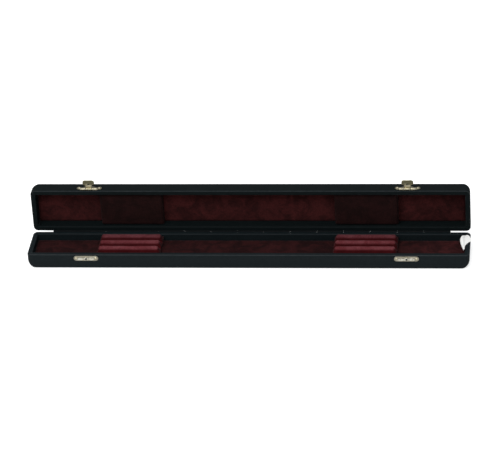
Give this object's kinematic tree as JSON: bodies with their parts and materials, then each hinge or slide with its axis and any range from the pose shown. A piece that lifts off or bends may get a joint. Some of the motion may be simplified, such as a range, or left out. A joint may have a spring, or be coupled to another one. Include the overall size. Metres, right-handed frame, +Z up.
{
  "type": "conductor baton case",
  "caption": "Long slim hinged case with ribbed plush rests for conducting batons and small brass snap latches, lid standing open.",
  "frame": {"origin": "middle of the underside of the base, on the surface that it stands on", "axes": "+X along the case to the right, +Y from the latches to the hinge, +Z up"},
  "size_m": [0.4514, 0.0664, 0.0753],
  "materials": {
    "leatherette": "fine-grained, low sheen",
    "plush": "short pile",
    "wood": "raw",
    "card": "grey board",
    "foam": "wadding",
    "brass": "plated, lightly brushed",
    "brass_nails": "plated",
    "black_steel": "black lacquer",
    "paper": "matt"
  },
  "bodies": {
    "base": {"base_front_rail": "wood", "base_rear_rail": "wood", "base_left_end": "wood", "base_right_end": "wood", "base_board": "wood", "base_side_covering": "leatherette", "base_outer_sheet": "leatherette", "base_lining_card": "card", "base_lining": "plush", "rest_block_left": "wood", "rest_block_right": "wood", "rest_plush_left": "plush", "rest_plush_right": "plush", "catch_plate_left": "brass", "catch_plate_right": "brass", "latch_nails_base": "brass_nails", "hinge_leaf_base": "black_steel", "hinge_nails_base": "black_steel", "hinge_pin": "black_steel", "paper_tag": "paper"},
    "lid": {"lid_front_rail": "wood", "lid_rear_rail": "wood", "lid_left_end": "wood", "lid_right_end": "wood", "lid_board": "wood", "lid_side_covering": "leatherette", "lid_outer_sheet": "leatherette", "lid_lining_card": "card", "lid_lining": "plush", "pad_foam_left": "foam", "pad_foam_right": "foam", "pad_plush_left": "plush", "pad_plush_right": "plush", "hinge_leaf_lid": "black_steel", "hinge_nails_lid": "black_steel", "latch_plate_left": "brass", "latch_plate_right": "brass", "latch_pin_left": "brass", "latch_pin_right": "brass", "latch_nails_lid": "brass_nails"},
    "lever_left": {"latch_lever_left": "brass"},
    "lever_right": {"latch_lever_right": "brass"}
  },
  "joints": [
    {"name": "lid_hinge", "type": "hinge", "parent": "base", "child": "lid", "pos_m": [0, 0.02382, 0.01615], "axis": [1, 0, 0], "range_deg": [-78, 90]},
    {"name": "latch_left", "type": "hinge", "parent": "lid", "child": "lever_left", "pos_m": [-0.1642, 0.02577, 0.06482], "axis": [1, 0, 0], "range_deg": [0, 90]},
    {"name": "latch_right", "type": "hinge", "parent": "lid", "child": "lever_right", "pos_m": [0.1618, 0.02577, 0.06482], "axis": [1, 0, 0], "range_deg": [0, 90]}
  ]
}
